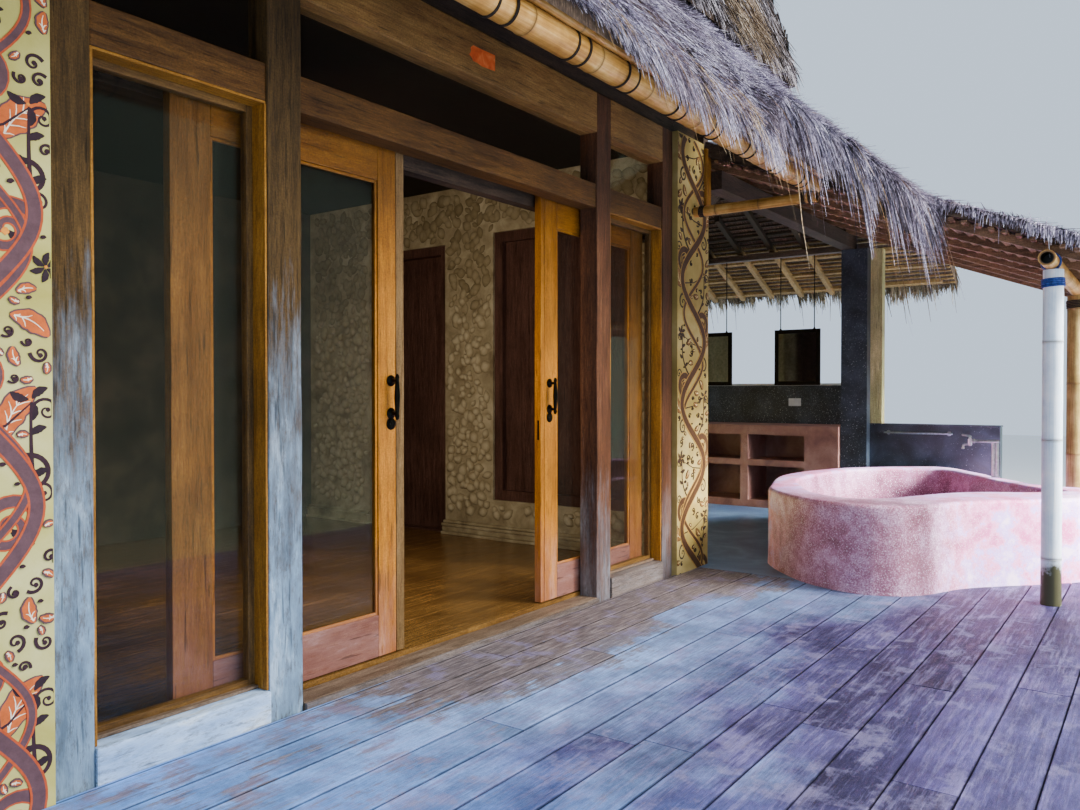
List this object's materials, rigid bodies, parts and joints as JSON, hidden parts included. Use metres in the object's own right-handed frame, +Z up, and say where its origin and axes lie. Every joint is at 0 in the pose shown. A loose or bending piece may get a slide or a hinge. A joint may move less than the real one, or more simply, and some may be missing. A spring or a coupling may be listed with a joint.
{
  "type": "thatched veranda house",
  "caption": "Timber-fronted thatched veranda house with sliding glazed doors, a board deck, a two-tier roof and an open bath bay with a cement tub.",
  "frame": {"origin": "middle of the plan's bounding box, on the ground the plinth rests on", "axes": "+X along the front towards the bath bay, +Y from the deck into the house, +Z up"},
  "size_m": [9.5, 7.6002, 7.6692],
  "materials": {
    "stone": "rough masonry",
    "deck_boards": "weathered, worn blue-grey and purple paint",
    "slate": "honed slate, slightly worn",
    "floor_boards": "polished",
    "weathered_timber": "weathered, worn pale paint low down",
    "dark_timber": "oiled, dull",
    "honey_timber": "varnished, worn",
    "glass": "clear",
    "painted_plaster": "cream-yellow plaster with painted scrolling vines",
    "carved_relief": "pale carved relief, matt",
    "iron": "dark, rubbed",
    "thatch": "dry grass thatch, grey-lilac, ragged",
    "bamboo": "golden, half gloss",
    "pale_bamboo": "bleached, mossy foot",
    "rafter_timber": "reddish, rough",
    "black_terrazzo": "black pebble terrazzo with white flecks, half gloss",
    "pink_brown_cement": "polished cement, worn",
    "pink_cement": "polished cement, speckled, worn",
    "steel": "polished",
    "mirror_glass": "black framed mirror"
  },
  "bodies": {
    "house": {"bamboo_post_left": "pale_bamboo", "bamboo_post_middle": "bamboo", "bamboo_post_right": "bamboo", "bath_beam": "dark_timber", "bath_column": "black_terrazzo", "bath_floor": "slate", "bath_plank": "weathered_timber", "bath_rafters": "rafter_timber", "bath_thatch_back": "thatch", "bath_thatch_right": "thatch", "bath_wall_back": "painted_plaster", "ceiling": "dark_timber", "deck": "deck_boards", "door_track": "dark_timber", "eave_pole": "bamboo", "eave_strut_left": "bamboo", "eave_strut_right": "bamboo", "front_frame": "weathered_timber", "front_frieze": "dark_timber", "front_sill": "weathered_timber", "lean_to_purlin": "bamboo", "lean_to_rafters": "rafter_timber", "lean_to_thatch": "thatch", "low_wall": "black_terrazzo", "mirror_left": "mirror_glass", "mirror_right": "mirror_glass", "plinth": "stone", "ridge": "thatch", "room_floor": "floor_boards", "side_door": "dark_timber", "side_window": "dark_timber", "thatch_back": "thatch", "thatch_corner": "thatch", "thatch_front": "thatch", "thatch_left": "thatch", "thatch_right": "thatch", "timber_post": "honey_timber", "transom_glass": "glass", "tub": "pink_cement", "tub_taps": "steel", "upper_frame": "bamboo", "upper_thatch_back": "thatch", "upper_thatch_front": "thatch", "upper_thatch_left": "thatch", "upper_thatch_right": "thatch", "vanity": "pink_brown_cement", "vanity_wall": "black_terrazzo", "wall_back": "painted_plaster", "wall_front_left": "painted_plaster", "wall_front_right": "painted_plaster", "wall_left": "painted_plaster", "wall_right": "carved_relief", "window_left": "honey_timber", "window_right": "honey_timber"},
    "left_leaf": {"left_leaf_frame": "honey_timber", "left_leaf_glass": "glass", "left_leaf_handle": "iron"},
    "right_leaf": {"right_leaf_frame": "honey_timber", "right_leaf_glass": "glass", "right_leaf_handle": "iron"}
  },
  "joints": [
    {"name": "left_leaf_slide", "type": "slide", "parent": "house", "child": "left_leaf", "axis": [-1, 0, 0], "range_m": [-0.358, 0.529]},
    {"name": "right_leaf_slide", "type": "slide", "parent": "house", "child": "right_leaf", "axis": [1, 0, 0], "range_m": [-0.64, 0.247]}
  ]
}
